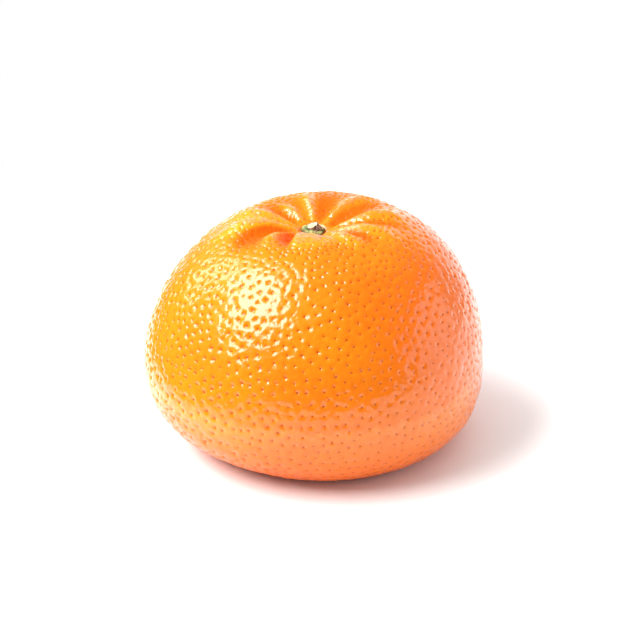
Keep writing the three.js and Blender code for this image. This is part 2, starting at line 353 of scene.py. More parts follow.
points = coordinates(net)
start, end = np.array([[vert.index for vert in edge.verts] for edge in net.edges]).T
is_pit = np.zeros(len(points), dtype=bool)
is_pit[[index for index, _ in picked]] = True
valence = np.bincount(np.concatenate([start, end]), minlength=len(points))
edge_length = np.linalg.norm(points[start] - points[end], axis=1)
pit_room = PIT_ROOM * (np.bincount(start, edge_length, len(points))
                       + np.bincount(end, edge_length, len(points))) / valence
COARSE_ROOM = np.median(pit_room[is_pit])
for _ in range(SETTLE_STEPS):
    total = np.zeros_like(points)
    np.add.at(total, start, points[end])
    np.add.at(total, end, points[start])
    points += SETTLE_SHARE * (total / valence[:, None] - points)
    crowd = KDTree(len(picked))
    for index, _ in picked:
        crowd.insert(points[index], index)
    crowd.balance()
    for index, _ in picked:
        space = PIT_SPACE * min(1, pit_room[index] / COARSE_ROOM)
        for place, other, away in crowd.find_range(points[index], space):
            if other != index:
                points[index] += PIT_DRIFT * (space - away) * (points[index] - np.array(place)) / away
    for near, far in ((start, end), (end, start)):
        pushed = is_pit[near] & ~is_pit[far]
        arm = points[far[pushed]] - points[near[pushed]]
        shortfall = np.maximum(pit_room[near[pushed]] / np.linalg.norm(arm, axis=1) - 1, 0)
        np.add.at(points, far[pushed], SETTLE_SHARE * arm * shortfall[:, None])
    points = on_body(points)
set_coordinates(net, points)
print("settled in", SETTLE_STEPS, "steps")

# %% Giving each pit its size
PIT_EDGE_SHARE = 0.72          # of the shortest edge at a point, the most that its pit may take
PIT_WALL = 0.1                 # half the skin that stays between two pits

neighbours = KDTree(len(picked))
for index, _ in picked:
    neighbours.insert(net.verts[index].co, index)
neighbours.balance()
pit_places = []
for index, wish in picked:
    vert = net.verts[index]
    room = PIT_EDGE_SHARE * min(edge.calc_length() for edge in vert.link_edges)
    nearest = neighbours.find_n(vert.co, 2)[1][2]
    widest = PIT_RADII[0] + (FINE_RADIUS - PIT_RADII[0]) * fineness(vert.co)
    room = min(room, nearest / 2 - PIT_WALL, widest)
    fitting = [size for size, radius in enumerate(PIT_RADII, start=1) if radius <= room]
    if fitting:
        vert[pit_class] = fitting[int(wish * wish * len(fitting))]
        pit_places.append((vert.co.copy(), vert[pit_class]))
for size, radius in enumerate(PIT_RADII, start=1):
    print(sum(size == place[1] for place in pit_places), "pits of", radius, "mm radius")

# %% Cutting them: bevel, round, inset and poke
PIT_DEPTH_SHARE = 0.52         # a pit's depth for its radius
PIT_DEPTHS = (0.7, 1.25)       # chance makes a pit shallower or deeper between these shares
PIT_FLOOR_SHARE = 0.5          # how far in the floor starts, as a share of the radius
PIT_ROUND = 0.92               # least radius of the rounded rim, as a share of the pit's
PIT_STRETCH = 0.22             # the most that one pit is longer than it is wide
WALL_SINK = 0.48               # how deep the wall's foot lies, as a share of the pit's depth
WALL_SHADE = 0.6                # how far the pit's painted shade has set in there
FINE_DEPTH = 0.9               # share of that depth that the pits on the fine side have
NEAR_CENTRE = 0.4              # a new face is a pit's if its middle is this near, in radii,
NEAR_RIM = 1.05                # and all of its corners are this near

pit_centres = KDTree(len(pit_places))
for place, size in pit_places:
    pit_centres.insert(place, size)
pit_centres.balance()

for size, radius in enumerate(PIT_RADII, start=1):
    verts = [vert for vert in net.verts if vert[pit_class] == size]
    cut = bmesh.ops.bevel(net, geom=verts, offset=radius, offset_type="OFFSET", segments=1,
                          profile=0.5, affect="VERTICES", clamp_overlap=False, material=-1)
    for vert in cut["verts"]:
        vert[pit_class] = 0
    floors = []
    for face in cut["faces"]:
        centre, found, away = pit_centres.find(face.calc_center_median())
        inside = all((vert.co - centre).length < NEAR_RIM * radius for vert in face.verts)
        if found == size and away < NEAR_CENTRE * radius and inside:
            floors.append(face)
    rims = list({edge for face in floors for edge in face.edges})
    bmesh.ops.subdivide_edges(net, edges=rims, cuts=1)
    for face in floors:
        centre = face.calc_center_median()
        long_way = Vector((draw.uniform(-1, 1), draw.uniform(-1, 1), draw.uniform(-1, 1))).normalized()
        stretch = draw.uniform(0, PIT_STRETCH)
        for vert in face.verts:
            arm = (vert.co - centre).normalized()
            vert.co = centre + arm * radius * (PIT_ROUND + stretch * arm.dot(long_way) ** 2)
    bmesh.ops.inset_individual(net, faces=floors, thickness=PIT_FLOOR_SHARE * radius, depth=0,
                               use_even_offset=True)
    for face in floors:
        deeper = PIT_DEPTH_SHARE * radius * draw.uniform(*PIT_DEPTHS)
        deeper *= 1 - (1 - FINE_DEPTH) * fineness(face.calc_center_median())
        for vert in face.verts:
            vert[sink] = WALL_SINK * deeper
            vert[pit] = WALL_SHADE
    poked = bmesh.ops.poke(net, faces=floors)
    for vert in poked["verts"]:
        ring = [edge.other_vert(vert) for edge in vert.link_edges]
        vert[sink] = ring[0][sink] / WALL_SINK
        vert[pit] = 1.0
print("with pits:", len(net.verts), "points,", len(net.faces), "faces")

# %% [markdown]
# ## From the net to the peel
#
# Now every point, on the skin or in a pit, is turned back into a direction from the fruit's centre and
# asked for its place on the peel. A displacement texture could do the rest, but the places are known here,
# so the relief is a sum of named lengths for each point. The skin between the pits is slightly pillowed
# and uneven, which is what breaks up the shine, and the pits are sunk towards the centre. Close to the
# stem the skin is drawn into short wrinkles across the folds, which are weaker at the back. Each point
# also keeps what its finish has to know: how far down a pit or a valley it lies, and how dry it is.

# %% Every point's place on the peel
bmesh.ops.triangulate(net, faces=[face for face in net.faces if len(face.verts) > 4])
body = coordinates(net)
directions = body / np.linalg.norm(body, axis=1)[:, None]
points = peel_points(directions)
distance = np.hypot(points[:, 0], points[:, 1])
azimuth = np.arctan2(points[:, 1], points[:, 0])
above = directions[:, 2] > 0
print("without its relief, the peel is", round(points[:, 2].max(), 1), "mm high")

# %% How far the pits sink
sunk = np.array([vert[sink] for vert in net.verts])
open_skin = np.array([all(edge.other_vert(vert)[pit] == 0 for edge in vert.link_edges) and vert[pit] == 0
                      for vert in net.verts])
# pressed pits get painted shade as well, as far as they sink
pit_shade = np.zeros(len(body))
for place, radius in pressed:
    away = np.minimum(np.linalg.norm(body - np.array(place), axis=1) / radius, 1)
    dent = (1 - away ** 2) ** 2
    sunk += PIT_DEPTH_SHARE * radius * dent
    pit_shade = np.maximum(pit_shade, dent)
print("the deepest pit is", round(sunk.max(), 2), "mm deep")

# %% Painted shade in the valleys, and dry crests
VALLEY_FROM = -0.3             # how far below the mean peel a valley between folds starts to get painted shade, redder and darker
VALLEY_TO = 0.5                # and where that painted shade is full
VALLEY_BACK = 0.9              # share of that painted shade that is left at the back
DRY_FROM = 9                   # the skin within this of the stem's axis is drier and finely wrinkled
DRY_TO = 16                    # from here on it isn't
DRY_LOW = 0.15                 # the height among the folds at which the dry skin starts
DRY_HIGH = 0.7                 # and where it is driest
BACK_FROM = -0.4               # sine of the azimuth at which the back starts
BACK_TO = 0.6                  # and where it is the back in full

folds = fold_height(distance, azimuth)
behind = smoothstep(BACK_FROM, BACK_TO, np.sin(azimuth))
valleys = above * smoothstep(VALLEY_FROM, VALLEY_TO, -folds) * (1 - (1 - VALLEY_BACK) * behind)
drier = above * (1 - smoothstep(DRY_FROM, DRY_TO, distance)) * smoothstep(DRY_LOW, DRY_HIGH, folds)
for vert, share, dull, dark in zip(net.verts, valleys, drier, pit_shade):
    vert[valley] = share
    vert[dry] = dull
    vert[pit] = max(vert[pit], dark)
print("dry skin at", int((drier > 0.5).sum()), "points, red valleys at", int((valleys > 0.5).sum()))

# %% The relief of the skin
PILLOW = 0.09                  # how far the skin between the pits stands up, in millimetres
RIPPLE = 0.1                   # unevenness about as wide as the pits are apart
RIPPLE_SIZE = 2.2
WAVE = 0.12                    # wider unevenness, which bends the edges of a reflection
WAVE_SIZE = 4.5
CREPE = 0.25                   # the wrinkles round the stem
CREPE_LENGTH = 0.85            # size of a wrinkle round the stem's axis
CREPE_WIDTH = 0.55             # and along the folds
CREPE_LAYER = 5                # the layer of the noise that the wrinkles are read from
CREPE_FROM = 4                 # distance from the stem's axis at which they start
CREPE_START = 1                # half the length over which they do
CREPE_FULL = 6                 # up to here they have their full height
CREPE_TO = 14                  # and here they have faded out
CREPE_BACK = 0.35              # share of the wrinkles that is left at the back
REST_CLEAR = 0.6               # the relief grows over this height, so that the fruit's rest stays level
SEAT_CLEAR = (-0.5, 1.5)       # and over these distances from the edge of the calyx's seat

ripple = np.array([noise.noise(Vector(point) / RIPPLE_SIZE) for point in points])
crepe = np.array([noise.noise(Vector((out / CREPE_WIDTH, out * turn / CREPE_LENGTH, CREPE_LAYER)))
                  for out, turn in zip(distance, azimuth)])
crepe *= 1 - (1 - CREPE_BACK) * behind
starting = smoothstep(CREPE_FROM - CREPE_START, CREPE_FROM + CREPE_START, distance)
crepe *= above * starting * (1 - smoothstep(CREPE_FULL, CREPE_TO, distance))
wave = np.array([noise.noise(Vector(point) / WAVE_SIZE) for point in points])
lift = RIPPLE * ripple + WAVE * wave + CREPE * crepe + PILLOW * open_skin - sunk
lift *= smoothstep(0, REST_CLEAR, points[:, 2])
clear_from, clear_to = SEAT_CLEAR
lift *= np.where(above, smoothstep(SEAT_RADIUS + clear_from, SEAT_RADIUS + clear_to, distance), 1)
points += directions * lift[:, None]
set_coordinates(net, points * MM)
print("relief from", round(lift.min(), 2), "to", round(lift.max(), 2), "mm")


# %% The peel's piece
def finished_piece(mesh, name, body="root"):
    """Turns a bmesh into a smooth object at the origin that rides on a body."""
    bmesh.ops.recalc_face_normals(mesh, faces=mesh.faces)
    for face in mesh.faces:
        face.smooth = True
    data = bpy.data.meshes.new(name)
    mesh.to_mesh(data)
    mesh.free()
    piece = bpy.data.objects.new(name, data)
    bpy.context.scene.collection.objects.link(piece)
    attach(piece, body)
    triangles = sum(len(polygon.vertices) - 2 for polygon in data.polygons)
    print(name, triangles, "triangles")
    return piece


peel = finished_piece(net, "peel")
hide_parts("fruit")

# %% [markdown]
# ## The calyx
#
# The small green button left on the fruit is its calyx: five pointed sepals grown together into a disc,
# fleshy in the middle, thin and ragged at its edge, dry and wrinkled by the time the fruit is sold. A cut
# disc would look like a washer, so we start from a sphere, whose rim is closed, press it flat and let a
# formula of the azimuth draw the sepals, the wrinkles and the tips that curl up.

# %% The calyx's mesh
SEPALS = 5
CALYX_POINTS = (120, 36)       # points of the sphere round its axis and along it
CALYX_RADIUS = 2.1
CALYX_LOBE = 0.4               # how much further the tips of the sepals reach
CALYX_POINTEDNESS = 1.3        # exponent of the tips: more than 1 hollows their sides
CALYX_HEIGHT = 1.1
CALYX_FLATNESS = 5             # exponents of its section: how flat its middle is
CALYX_SHOULDER = 0.6           # and how steeply its edge falls off
CALYX_LEAN = 0.3               # how much higher it stands towards -X than in its middle
CALYX_CURL = 0.2               # how far a tip curls up
CALYX_CURL_FROM = 0.55         # share of the radius at which that starts
CALYX_CURL_BETWEEN = 0.3       # share of the curl that the edge between the tips has
CALYX_RAGGED = 0.16            # how uneven its rim is
CALYX_RAGGED_SCALE = 3
CALYX_WRINKLE = 0.07           # height of its wrinkles at the rim
CALYX_WRINKLES = 23
CALYX_WANDER = 4               # how far a wrinkle strays to the side
CALYX_ROUGH_SCALE = 6
CALYX_TURN = math.radians(22)

calyx = bmesh.new()
rim = calyx.verts.layers.float.new("rim")
bmesh.ops.create_uvsphere(calyx, u_segments=CALYX_POINTS[0], v_segments=CALYX_POINTS[1], radius=1)
ball = coordinates(calyx)
azimuth = np.arctan2(ball[:, 1], ball[:, 0])
out = np.hypot(ball[:, 0], ball[:, 1])
tip = (1 - np.abs(np.sin(SEPALS / 2 * (azimuth - CALYX_TURN)))) ** CALYX_POINTEDNESS
ragged = np.array([noise.noise(Vector((CALYX_RAGGED_SCALE * math.cos(turn),
                                       CALYX_RAGGED_SCALE * math.sin(turn), 2))) for turn in azimuth])
rough = np.array([noise.noise(Vector(point) * CALYX_ROUGH_SCALE) for point in ball])
radius = out * (CALYX_RADIUS + CALYX_LOBE * tip * out ** 3 + CALYX_RAGGED * ragged * out)
thick = CALYX_HEIGHT * (1 - out ** CALYX_FLATNESS + TINY) ** CALYX_SHOULDER
wrinkle = CALYX_WRINKLE * out * (np.cos(CALYX_WRINKLES * azimuth + CALYX_WANDER * ragged) / 2 + rough)
curl = CALYX_CURL * smoothstep(CALYX_CURL_FROM, 1.0, out) * (CALYX_CURL_BETWEEN + tip + ragged)
lean = 1 - CALYX_LEAN * ball[:, 0]
height = SEAT_Z + lean * (curl + np.where(ball[:, 2] > 0, thick + wrinkle, 0))
points = np.stack([radius * np.cos(azimuth), radius * np.sin(azimuth), height], axis=1)
for vert, share in zip(calyx.verts, out):
    vert[rim] = share
set_coordinates(calyx, points * MM)
calyx_piece = finished_piece(calyx, "sepals")
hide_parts("calyx")

# %% [markdown]
# ## The clipped stem
#
# Fruit is clipped from the tree, so what is left is a stub with a slanted, pale cut and a collar of brown
# bark that flares where it joins the calyx. It is a cone with its sides cut into rings, so that the bark
# can be ribbed, and with its top face inset: bark, then wood, then the pith in the middle.

# %% The stem's rings
STEM_SEGMENTS = 56
STEM_RINGS = 16
STEM_FOOT = 0.86               # the cone's radius at its foot, as a share of the solid's
STEM_END = 0.72                # and at the cut
BARK_SHARE = 0.16              # the bark's thickness on the cut, as a share of the cut's radius
PITH = 0.6                     # how far the pith is from bark, 0, to wood, 1
# rings of the cut inside the bark: width as a share of its radius, and what the ring is made of
CUT_RINGS = [(0.06, 1.0), (0.2, 1.0), (0.25, PITH)]

stem = bmesh.new()
cut_wood = stem.verts.layers.float.new("wood")
bmesh.ops.create_cone(stem, cap_ends=True, segments=STEM_SEGMENTS,
                      radius1=STEM_FOOT, radius2=STEM_END, depth=1)
uprights = [edge for edge in stem.edges if abs(edge.verts[0].co.z - edge.verts[1].co.z) > 0.5]
bmesh.ops.subdivide_edges(stem, edges=uprights, cuts=STEM_RINGS)
cut = [face for face in stem.faces if len(face.verts) > 4 and face.calc_center_median().z > 0]
bmesh.ops.inset_individual(stem, faces=cut, thickness=STEM_END * BARK_SHARE)
for step, wood in CUT_RINGS:
    bmesh.ops.inset_individual(stem, faces=cut, thickness=STEM_END * step)
    for vert in cut[0].verts:
        vert[cut_wood] = wood
poked = bmesh.ops.poke(stem, faces=cut)
poked["verts"][0][cut_wood] = PITH
print("stem:", len(stem.verts), "points on", STEM_RINGS, "rings and the cut")

# %% Bark, flare and the slanted cut, in millimetres
BARK_RIBS = 11
BARK_RIB = 0.045               # height of a rib, as a share of the radius
BARK_WANDER = 2                # how far a rib strays to the side
BARK_ROUGH = 0.09
ROUGH_SCALE = (4, 4, 1.5)
FINE_SCALE = (11, 11, 5)
FINE_LAYER = Vector((0, 0, 3))
STEM_FLARE = 0.1               # how much wider the foot is, as a share of the radius
STEM_FLARE_TO = 0.45           # share of the height over which the stem flares towards its foot
STEM_TILT = -0.35              # how far the cut end leans towards -X
STEM_SUNK = 0.1                # how far the foot is sunk into the calyx
CUT_BELOW_TOP = 0.15           # the cut's high side stays this far below the solid's top
CUT_ABOVE_FOOT = 0.12          # and its low side this far above the solid's foot
CUT_ROUGH = 0.12
CUT_DISH = 0.07                # how far the wood has shrunk back

stem_foot = Vector(((stem_low.x + stem_high.x) / 2, (stem_low.y + stem_high.y) / 2, stem_low.z)) / MM
stem_radius = (stem_high.x - stem_low.x) / 2 / MM
stem_top = stem_high.z / MM - CUT_BELOW_TOP
stem_cut_low = stem_foot.z + CUT_ABOVE_FOOT

cone = coordinates(stem)
azimuth = np.arctan2(cone[:, 1], cone[:, 0])
share = cone[:, 2] + 0.5
wood = np.array([vert[cut_wood] for vert in stem.verts])
rough = np.array([noise.noise(Vector(point * ROUGH_SCALE)) for point in cone])
fine = np.array([noise.noise(Vector(point * FINE_SCALE) + FINE_LAYER) for point in cone])
ribs = BARK_RIB * np.abs(np.sin(BARK_RIBS / 2 * azimuth + BARK_WANDER * rough))
ribs += BARK_ROUGH * (rough + fine / 2)
flare = STEM_FLARE * (1 - smoothstep(0, STEM_FLARE_TO, share))
radius = np.hypot(cone[:, 0], cone[:, 1]) * stem_radius * (1 + ribs + flare)
x = radius * np.cos(azimuth)
y = radius * np.sin(azimuth)
slope = (stem_top - stem_cut_low) / (2 * STEM_END * stem_radius)
cut_height = (stem_top + stem_cut_low) / 2 + slope * x + CUT_ROUGH * rough
cut_height = np.minimum(cut_height, stem_top) - CUT_DISH * wood
height = stem_foot.z - STEM_SUNK + share * (cut_height - stem_foot.z + STEM_SUNK)
points = np.stack([stem_foot.x + x + STEM_TILT * share, stem_foot.y + y, height], axis=1)
set_coordinates(stem, points * MM)
stem_piece = finished_piece(stem, "clipped_stem")
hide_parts("stem_stub")
print("stem", round(stem_radius, 2), "mm radius, up to", round(stem_top, 2), "mm")

# %% [markdown]
# ## Nodes without the noodles
#
# A material is a tree of nodes. It could be wired by hand in the editor, but a lesson is easier to follow
# in words. So a few small helpers keep each tree short to write: the first adds any node and sets or wires
# its inputs, and the others are the handful of nodes that come back again and again.

# %% A helper for any node
def add(tree, kind, inputs=None, **settings):
    """Adds a shader node. An input is a value, or the output that is wired to it."""
    node = tree.nodes.new("ShaderNode" + kind)
    for name, value in settings.items():
        setattr(node, name, value)
    for name, value in (inputs or {}).items():
        if isinstance(value, bpy.types.NodeSocket):
            tree.links.new(value, node.inputs[name])
        else:
            node.inputs[name].default_value = value
    return node


def new_material(name):
    """A new material and its empty tree."""
    material = bpy.data.materials.new(name)
    material.use_nodes = True
    tree = material.node_tree
    tree.nodes.clear()
    return material, tree


def dress(piece, material):
    """Gives a piece its finish."""
    piece.data.materials.append(material)
    print(piece.name, "gets", material.name + ",", len(material.node_tree.nodes), "nodes")


# %% Helpers for the nodes that come back
BLACK = (0, 0, 0)
WHITE = (1, 1, 1)


def attribute(tree, name):
    """A value that the mesh keeps at its points."""
    return add(tree, "Attribute", attribute_name=name).outputs["Fac"]


def mottle(tree, place, scale, detail):
    """Uneven patches: noise with about this many waves in a metre, and finer ones laid over them."""
    return add(tree, "TexNoise", {"Vector": place, "Scale": scale, "Detail": detail}).outputs["Fac"]


def calculated(tree, operation, first, second):
    """The sum, product or difference of two values."""
    return add(tree, "Math", {0: first, 1: second}, operation=operation).outputs["Value"]


def mapped(tree, value, start=(0, 1), end=(0, 1)):
    """Stretches one range of a value onto another, and holds it there."""
    return add(tree, "MapRange", {"Value": value, "From Min": start[0], "From Max": start[1],
                                  "To Min": end[0], "To Max": end[1]}).outputs["Result"]


def ramp(tree, factor, stops):
    """A colour ramp with the given (position, colour) stops."""
    node = add(tree, "ValToRGB", {"Fac": factor})
    elements = node.color_ramp.elements
    while len(elements) < len(stops):
        elements.new(0.5)
    for element, (position, colour) in zip(elements, stops):
        element.position = position
        element.color = (*colour, 1)
    return node.outputs["Color"]


def mixed(tree, factor, first, second, blend="MIX"):
    """Lays the second colour over the first. The node's inputs for other kinds of data are disabled."""
    node = add(tree, "Mix", data_type="RGBA", blend_type=blend)
    for socket, value in (("Factor", factor), ("A", first), ("B", second)):
        target = [entry for entry in node.inputs if entry.name == socket and entry.enabled][0]
        if isinstance(value, bpy.types.NodeSocket):
            tree.links.new(value, target)
        else:
            target.default_value = value if socket == "Factor" else (*value, 1)
    return [entry for entry in node.outputs if entry.enabled][0]


def surface(tree, values):
    """The shader that the material ends in."""
    shader = add(tree, "BsdfPrincipled", values)
    add(tree, "OutputMaterial", {"Surface": shader.outputs["BSDF"]})


# %% [markdown]
# ## The peel's finish
#
# Ripe peel is a saturated orange that leans to yellow in patches, and its upper left side, towards the
# lamps, is painted yellower and lighter: painted light. The bottoms of the pits, the valleys between the
# folds and the peel low down by the table are painted darker and redder: painted shade. The crests round
# the stem are dry: duller and more wrinkled, with a dusty pale colour that is partly a painted sheen. One
# noise could mix all these colours, but then they would ignore the shape, so the mesh says where the pits,
# valleys and dry crests are, and heights say the rest. A thin wax is the shader's coat; it is thinner low
# down and nearly gone in the valleys, which is painted shade in its reflections. The finest pits and
# wrinkles are too small to model, so they come from a bump.

# %% Colours of the peel
PEEL_ORANGE = (0.84, 0.176, 0.0025)
PEEL_YELLOW = (0.82, 0.3, 0.003)
# painted shade at the bottom of a pit
PIT_SHADE_ORANGE = (0.45, 0.06, 0.0015)
# painted shade between the folds
VALLEY_SHADE_ORANGE = (0.76, 0.085, 0.0015)
# a dusty pale colour on the dry crests, partly a painted sheen
DUST_AND_SHEEN_ORANGE = (0.82, 0.26, 0.1)
# painted shade low down, near the table
LOW_SHADE_ORANGE = (0.82, 0.12, 0.002)
FRECKLE_SHADE = (0.9, 0.86, 0.8)   # what is left of the colour in a freckle
# each noise is its waves in a metre, and how many finer layers it has
PATCHES = (45.0, 3.0)
FRECKLES = (900.0, 2.0)
WRINKLES = (700.0, 3.0)
# where in their noise the yellow, the freckles and the dusty pale colour, partly a painted sheen, set in,
# and where they are full
BLUSH_RANGE = [(0.25, BLACK), (0.85, WHITE)]
FRECKLE_RANGE = [(0.45, WHITE), (0.75, FRECKLE_SHADE)]
DUST_AND_SHEEN_RANGE = (0.44, 0.58)
PIT_SHADE_FROM = 0.35               # how far down a pit's wall its painted shade starts
MIDDLE_HEIGHT = 0.022              # height of the fruit's middle, in metres
LIT_SIDE_WAY = (-0.8, -0.1, 0.6)    # the way that the fruit's upper left side faces, towards the lamps: painted light makes it yellower and lighter
LIT_SIDE_ALONG = (-0.008, 0.03)      # metres along it over which the painted light turns the peel yellower
LIT_SIDE_ADDED = (-0.22, 0.4)        # and what that adds to the patches
LOW_HEIGHTS = (0.003, 0.018)       # metres above the rest over which the painted shade near the table fades out
LOW_MOST = 0.75


def peel_colour(tree, place, wrinkles, dryness, low, valleys):
    """The skin's colour, from its patches and freckles to its pits, with painted light on the side towards
    the lamps, painted shade in the pits, valleys and low down, and a painted sheen on the dry crests.
    """
    # painted light: the side towards the lamps is painted yellower and lighter, added to the patches
    from_middle = add(tree, "VectorMath", {0: place, 1: (0, 0, MIDDLE_HEIGHT)}, operation="SUBTRACT")
    painted_lit_side = add(tree, "VectorMath", {0: from_middle.outputs["Vector"], 1: LIT_SIDE_WAY},
                operation="DOT_PRODUCT")
    painted_lit_side = mapped(tree, painted_lit_side.outputs["Value"], LIT_SIDE_ALONG, LIT_SIDE_ADDED)
    blush = calculated(tree, "ADD", mottle(tree, place, *PATCHES), painted_lit_side)
    colour = mixed(tree, ramp(tree, blush, BLUSH_RANGE), PEEL_ORANGE, PEEL_YELLOW)
    freckles = ramp(tree, mottle(tree, place, *FRECKLES), FRECKLE_RANGE)
    colour = mixed(tree, 1.0, colour, freckles, "MULTIPLY")
    # a dusty pale colour on the dry crests, partly a painted sheen
    dust_and_sheen = calculated(tree, "MULTIPLY", mapped(tree, wrinkles, DUST_AND_SHEEN_RANGE), dryness)
    colour = mixed(tree, dust_and_sheen, colour, DUST_AND_SHEEN_ORANGE)
    colour = mixed(tree, low, colour, LOW_SHADE_ORANGE)
    # painted shade between the folds
    colour = mixed(tree, valleys, colour, VALLEY_SHADE_ORANGE)
    # painted shade down the walls and bottoms of the pits
    pits = mapped(tree, attribute(tree, "pit"), (PIT_SHADE_FROM, 1))
    return mixed(tree, pits, colour, PIT_SHADE_ORANGE)


# %% The grain of the peel, and its material
GRAIN_SCALE = 1100.0               # how many of the finest pits lie along a metre
GRAIN_DEPTH = 0.0002               # and how deep they are, in metres
CREASE_DEPTH = 0.0003              # how deep the finest wrinkles are
# each pair is what fresh skin has, and what dry skin has
GRAIN = (0.45, 1.0)
CREASES = (0.25, 0.8)
COAT_ROUGHNESS = (0.1, 0.3)
# each pair is what the open skin has, and what a valley has: less coat and shine there is painted shade in
# its reflections
WAX = (0.95, 0.05)
SHINE = (0.35, 0.05)


def peel_grain(tree, place, wrinkles, dryness):
    """The finest pits, and the finest wrinkles over them."""
    fine = add(tree, "TexVoronoi", {"Vector": place, "Scale": GRAIN_SCALE}, feature="SMOOTH_F1")
    bump = add(tree, "Bump", {"Height": fine.outputs["Distance"], "Distance": GRAIN_DEPTH,
                              "Strength": mapped(tree, dryness, end=GRAIN)})
    bump = add(tree, "Bump", {"Height": wrinkles, "Distance": CREASE_DEPTH,
                              "Strength": mapped(tree, dryness, end=CREASES),
                              "Normal": bump.outputs["Normal"]})
    return bump.outputs["Normal"]


def peel_material():
    """Orange skin under a thin wax, which is thinner low down and nearly gone in the valleys, as painted
    shade in its reflections.
    """
    material, tree = new_material("peel wax")
    place = add(tree, "TexCoord").outputs["Object"]
    wrinkles = mottle(tree, place, *WRINKLES)
    dryness = attribute(tree, "dry")
    valleys = attribute(tree, "valley")
    height = add(tree, "SeparateXYZ", {"Vector": place}).outputs["Z"]
    # painted shade near the table: low down the colour is redder and darker, and the coat and shine are
    # turned down
    low = mapped(tree, height, LOW_HEIGHTS, (LOW_MOST, 0))
    grain = peel_grain(tree, place, wrinkles, dryness)
    reflection_left = calculated(tree, "SUBTRACT", 1.0, low)
    wax = calculated(tree, "MULTIPLY", mapped(tree, valleys, end=WAX), reflection_left)
    shine = calculated(tree, "MULTIPLY", mapped(tree, valleys, end=SHINE), reflection_left)
    surface(tree, {"Base Color": peel_colour(tree, place, wrinkles, dryness, low, valleys),
                   "Roughness": 0.25, "Specular IOR Level": shine, "Normal": grain,
                   "Coat Weight": wax, "Coat Roughness": mapped(tree, dryness, end=COAT_ROUGHNESS),
                   "Coat Normal": grain})
    return material


dress(peel, peel_material())

# %% [markdown]
# ## The calyx's and the stem's finishes
#
# The calyx has dried from green to grey-green, with a brown edge and yellower patches, and it is matt. The
# bark is brown with darker cracks along it. The clipped wood is a pale cream, with a greener pith.
# Each could be painted on, but both pieces are tiny, so a noise stretched the right way does as well. The
# meshes say how far out the calyx's rim is, and which part of the cut is wood.

# %% The calyx's material
CALYX_PATCHES = (700.0, 4.0)       # noises again: waves in a metre, and finer layers
CALYX_GRAIN = (3500.0, 3.0)
GREEN_SHADES = [(0.36, (0.08, 0.11, 0.02)), (0.5, (0.26, 0.29, 0.08)), (0.62, (0.5, 0.5, 0.17))]
RIM_BROWN = (0.16, 0.09, 0.03)
RIM_RANGE = [(0.9, BLACK), (1.0, (0.8, 0.8, 0.8))]
CALYX_SPOTS = [(0.4, (0.65, 0.65, 0.65)), (0.6, WHITE)]


def calyx_material():
    """Dry green with a brown rim and small dark spots."""
    material, tree = new_material("dry calyx")
    place = add(tree, "TexCoord").outputs["Object"]
    fine = mottle(tree, place, *CALYX_GRAIN)
    green = ramp(tree, mottle(tree, place, *CALYX_PATCHES), GREEN_SHADES)
    colour = mixed(tree, ramp(tree, attribute(tree, "rim"), RIM_RANGE), green, RIM_BROWN)
    colour = mixed(tree, 1.0, colour, ramp(tree, fine, CALYX_SPOTS), "MULTIPLY")
    bump = add(tree, "Bump", {"Height": fine, "Strength": 0.5, "Distance": 0.0001})
    surface(tree, {"Base Color": colour, "Roughness": 0.62, "Normal": bump.outputs["Normal"]})
    return material


dress(calyx_piece, calyx_material())

# %% The stem's material
BARK_CRACKS = (2200.0, 4.0)
PORES = (4000.0, 2.0)
BARK_BROWNS = [(0.38, (0.05, 0.028, 0.02)), (0.52, (0.2, 0.12, 0.08)), (0.66, (0.4, 0.28, 0.19))]
PITH_TO_WOOD = [(0.55, (0.5, 0.48, 0.22)), (0.95, (0.64, 0.58, 0.38))]
BARK_TO_CUT = [(0.3, BLACK), (0.5, WHITE)]
WOOD_PORES = [(0.35, (0.8, 0.78, 0.7)), (0.55, WHITE)]
ALONG_STEM = (1.0, 1.0, 0.35)      # draws the cracks out along the stem


def stem_material():
    """Cracked brown bark, and pale wood with pores on the cut."""
    material, tree = new_material("bark and cut wood")
    place = add(tree, "TexCoord").outputs["Object"]
    drawn = add(tree, "Mapping", {"Vector": place, "Scale": ALONG_STEM})
    cracks = mottle(tree, drawn.outputs["Vector"], *BARK_CRACKS)
    wood = attribute(tree, "wood")
    pores = ramp(tree, mottle(tree, place, *PORES), WOOD_PORES)
    pale = mixed(tree, 1.0, ramp(tree, wood, PITH_TO_WOOD), pores, "MULTIPLY")
    colour = mixed(tree, ramp(tree, wood, BARK_TO_CUT), ramp(tree, cracks, BARK_BROWNS), pale)
    bump = add(tree, "Bump", {"Height": cracks, "Strength": 0.6, "Distance": 0.00012})
    surface(tree, {"Base Color": colour, "Roughness": 0.6, "Normal": bump.outputs["Normal"]})
    return material


dress(stem_piece, stem_material())

# %% [markdown]
# ## The studio
#
# The fruit stands on a white board, which ends four centimetres to its left, so that the left rim has
# something dark to mirror. We could light it with a ready-made surrounding picture, but then its
# reflections would be someone else's room. Instead four rectangular lamps make them: a large softbox high
# on the left and its brighter core give the broad highlight, and a strip behind on the left and a low card
# on the right give the edges their shine. The room itself is nearly black in reflections, but for a
# backdrop behind the board, so the middle of the peel keeps its colour. Matt surfaces get an even light
# instead, brighter from the back, and the camera sees plain white past the board.

# %% The board
BOARD_SIZE = (0.4, 0.47)           # metres
BOARD_PLACE = (0.125, 0.105, 0)    # its middle
BOARD_WHITE = (0.84, 0.84, 0.84)
BOARD_ROUGHNESS = 0.6


def plain_material(name, colour, roughness):
    """One even colour."""
    material, tree = new_material(name)
    surface(tree, {"Base Color": (*colour, 1), "Roughness": roughness})
    return material


